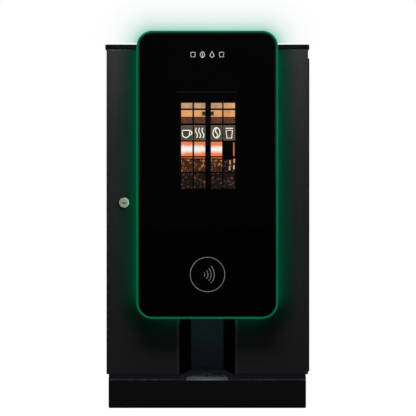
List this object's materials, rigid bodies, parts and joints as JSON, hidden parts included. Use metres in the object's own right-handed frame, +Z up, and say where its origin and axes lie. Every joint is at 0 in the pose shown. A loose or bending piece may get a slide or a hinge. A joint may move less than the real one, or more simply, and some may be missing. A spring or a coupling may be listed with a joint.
{
  "type": "hot coffee vending machine",
  "caption": "Counter-top bean-to-cup hot drink machine: sheet-metal cabinet with hinged door, floating lit glass front, cup alcove, drip tray and working inner modules.",
  "frame": {"origin": "on the ground, under the middle of the outer box", "axes": "+Z up, the front glass faces -Y, +X to the viewer's right"},
  "size_m": [0.456, 0.56, 0.838],
  "materials": {
    "cabinet_paint": "dark anthracite powder coat, satin",
    "lid_paint": "black satin paint",
    "base_gloss": "black gloss moulding",
    "inner_sheet": "light grey powder coat",
    "rubber_black": "matt black rubber",
    "zinc_steel": "black zinc plated steel",
    "bright_steel": "satin stainless steel",
    "chrome_trim": "polished chrome",
    "alcove_plastic": "black moulded plastic",
    "front_glass": "black back-printed tempered glass",
    "lit_guide": "green lit acrylic",
    "screen": "black display housing",
    "reader_plastic": "black reader housing",
    "clear_plastic": "smoked translucent plastic",
    "grey_plastic": "grey food grade plastic",
    "bin_plastic": "black plastic",
    "motor_metal": "dark motor housings",
    "boiler_steel": "brushed stainless steel",
    "brass_fitting": "brass",
    "silicone": "milky silicone",
    "service_metal": "plain aluminium",
    "burr_steel": "hardened steel"
  },
  "bodies": {
    "root": {"base_housing": "base_gloss", "rubber_feet": "rubber_black", "floor_pan": "inner_sheet", "left_side_panel": "cabinet_paint", "right_side_panel": "cabinet_paint", "back_panel": "cabinet_paint", "top_deck": "inner_sheet", "bulkhead": "inner_sheet", "shelf": "inner_sheet", "hinge_cabinet_leaf": "zinc_steel", "hinge_pin": "bright_steel", "lid_hinges": "zinc_steel", "bean_hopper": "clear_plastic", "grinder_housing": "motor_metal", "grinder_motor": "motor_metal", "brew_frame": "bright_steel", "brew_chamber": "grey_plastic", "canister_1": "clear_plastic", "canister_2": "clear_plastic", "canister_lids": "grey_plastic", "auger_motors": "motor_metal", "mixing_bowl_1": "grey_plastic", "mixing_bowl_2": "grey_plastic", "mixer_motors": "motor_metal", "spout_head": "alcove_plastic", "drink_tubes": "silicone", "boiler": "boiler_steel", "pump": "motor_metal", "inlet_valve": "brass_fitting", "power_supply": "service_metal", "control_board": "service_metal", "fan_frame": "bright_steel", "power_inlet": "bin_plastic"},
    "door": {"door_panel": "cabinet_paint", "door_liner": "inner_sheet", "door_seal": "rubber_black", "hinge_door_leaf": "zinc_steel", "cup_station": "alcove_plastic", "lock_housing": "chrome_trim", "standoffs": "bright_steel", "fascia_plate": "zinc_steel", "light_guide": "lit_guide", "led_strip": "lit_guide", "glass_panel": "front_glass", "display_module": "screen", "contactless_reader": "reader_plastic"},
    "lock": {"lock_cylinder": "chrome_trim", "lock_cam": "chrome_trim"},
    "lid": {"top_lid": "lid_paint"},
    "tray": {"drip_tray": "alcove_plastic"},
    "grille": {"drip_grille": "bright_steel"},
    "bin": {"grounds_bin": "bin_plastic"},
    "auger_a": {"auger_1": "grey_plastic"},
    "auger_b": {"auger_2": "grey_plastic"},
    "impeller_a": {"impeller_1": "grey_plastic"},
    "impeller_b": {"impeller_2": "grey_plastic"},
    "burr": {"grinder_burr": "burr_steel"},
    "piston": {"brew_piston": "grey_plastic"},
    "fan": {"fan_rotor": "bin_plastic"},
    "rocker": {"switch_rocker": "bin_plastic"}
  },
  "joints": [
    {"name": "door_hinge", "type": "hinge", "parent": "root", "child": "door", "pos_m": [0.2252, -0.213, 0.43], "axis": [0, 0, 1], "range_deg": [0, 110]},
    {"name": "lock_turn", "type": "hinge", "parent": "door", "child": "lock", "pos_m": [-0.1857, -0.23, 0.4586], "axis": [0, 1, 0], "range_deg": [0, 90]},
    {"name": "top_lid_hinge", "type": "hinge", "parent": "root", "child": "lid", "pos_m": [0, 0.266, 0.807], "axis": [-1, 0, 0], "range_deg": [0, 75]},
    {"name": "drip_tray_lift", "type": "slide", "parent": "root", "child": "tray", "axis": [0, 0, 1], "range_m": [0, 0.045]},
    {"name": "drip_grille_lift", "type": "slide", "parent": "tray", "child": "grille", "axis": [0, 0, 1], "range_m": [0, 0.03]},
    {"name": "grounds_bin_slide", "type": "slide", "parent": "root", "child": "bin", "axis": [0, -1, 0], "range_m": [0, 0.085]},
    {"name": "auger_1_spin", "type": "hinge", "parent": "root", "child": "auger_a", "pos_m": [-0.03, -0.03, 0.592], "axis": [0, -1, 0], "continuous": true},
    {"name": "auger_2_spin", "type": "hinge", "parent": "root", "child": "auger_b", "pos_m": [0.07, -0.03, 0.592], "axis": [0, -1, 0], "continuous": true},
    {"name": "impeller_1_spin", "type": "hinge", "parent": "root", "child": "impeller_a", "pos_m": [-0.03, -0.14, 0.455], "axis": [0, -1, 0], "continuous": true},
    {"name": "impeller_2_spin", "type": "hinge", "parent": "root", "child": "impeller_b", "pos_m": [0.07, -0.14, 0.455], "axis": [0, -1, 0], "continuous": true},
    {"name": "grinder_burr_spin", "type": "hinge", "parent": "root", "child": "burr", "pos_m": [-0.15, -0.06, 0.58], "axis": [0, 0, 1], "continuous": true},
    {"name": "brew_piston_slide", "type": "slide", "parent": "root", "child": "piston", "axis": [0, 0, -1], "range_m": [0, 0.04]},
    {"name": "fan_spin", "type": "hinge", "parent": "root", "child": "fan", "pos_m": [-0.14, 0.248, 0.69], "axis": [0, 1, 0], "continuous": true},
    {"name": "switch_rock", "type": "hinge", "parent": "root", "child": "rocker", "pos_m": [0.167, 0.2585, 0.12], "axis": [1, 0, 0], "range_deg": [0, 18]}
  ]
}
